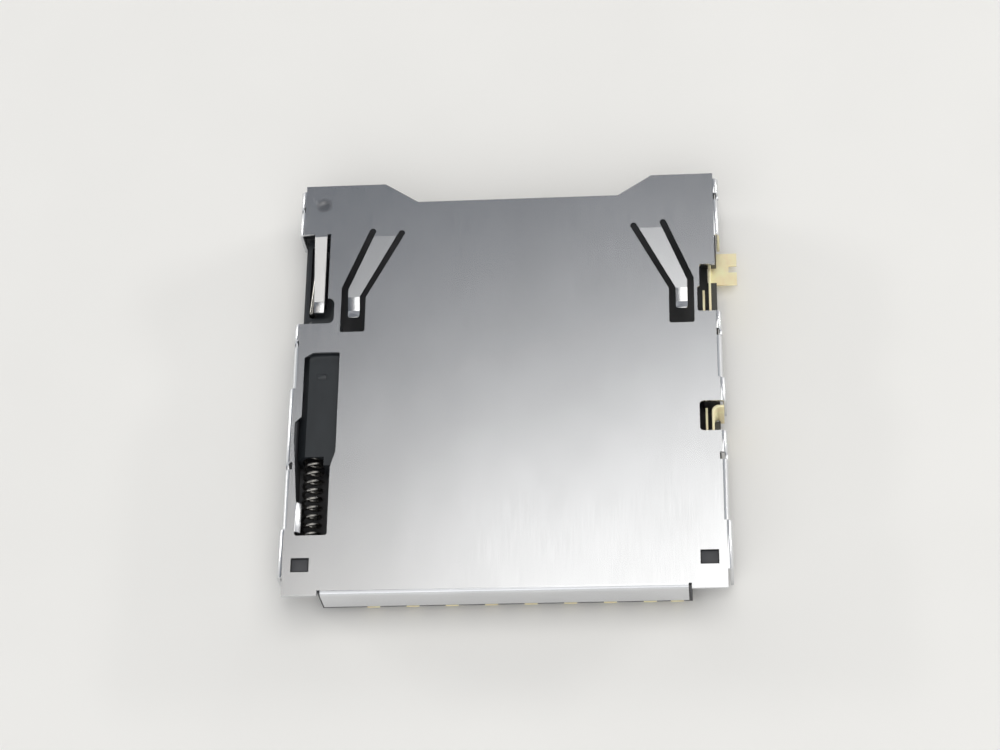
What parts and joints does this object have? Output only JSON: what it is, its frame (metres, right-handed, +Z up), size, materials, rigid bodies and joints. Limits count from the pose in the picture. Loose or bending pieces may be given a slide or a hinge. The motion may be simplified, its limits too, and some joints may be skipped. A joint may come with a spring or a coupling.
{
  "type": "sd card socket",
  "caption": "Push-push memory card socket for a circuit board: stamped steel cover with cut springs, black moulded housing, sprung slider with cam pin, and gold contacts.",
  "frame": {"origin": "on the board plane, under the middle of the cover's plan", "axes": "+Z up from the board, -Y towards the card mouth, +X towards the slider lane"},
  "size_m": [0.0294, 0.0296, 0.0036],
  "materials": {
    "stainless": "satin rolled stainless sheet",
    "housing_black": "moulded, matt",
    "slider_black": "moulded, slightly glossy",
    "gold_plated": "gold plated strip",
    "spring_wire": "drawn wire"
  },
  "bodies": {
    "socket": {"shell_cover": "stainless", "housing": "housing_black", "eject_spring": "spring_wire", "contact_1": "gold_plated", "contact_2": "gold_plated", "contact_3": "gold_plated", "contact_4": "gold_plated", "contact_5": "gold_plated", "contact_6": "gold_plated", "contact_7": "gold_plated", "contact_8": "gold_plated", "contact_9": "gold_plated", "detect_fixed_contact": "gold_plated", "detect_moving_contact": "gold_plated", "protect_fixed_contact": "gold_plated", "protect_moving_contact": "gold_plated"},
    "card_slider": {"slider": "slider_black", "card_lock_spring": "stainless"},
    "follower": {"cam_pin": "spring_wire"}
  },
  "joints": [
    {"name": "slider_slide", "type": "slide", "parent": "socket", "child": "card_slider", "axis": [0, 1, 0], "range_m": [0, 0.0048], "stiffness_N_per_m": 150, "springref_m": -0.004, "deforming": ["eject_spring"]},
    {"name": "cam_pin_swing", "type": "hinge", "parent": "socket", "child": "follower", "pos_m": [0.01252, -0.0122, 0.00198], "axis": [0, 0, 1], "range_deg": [0, 9]}
  ]
}
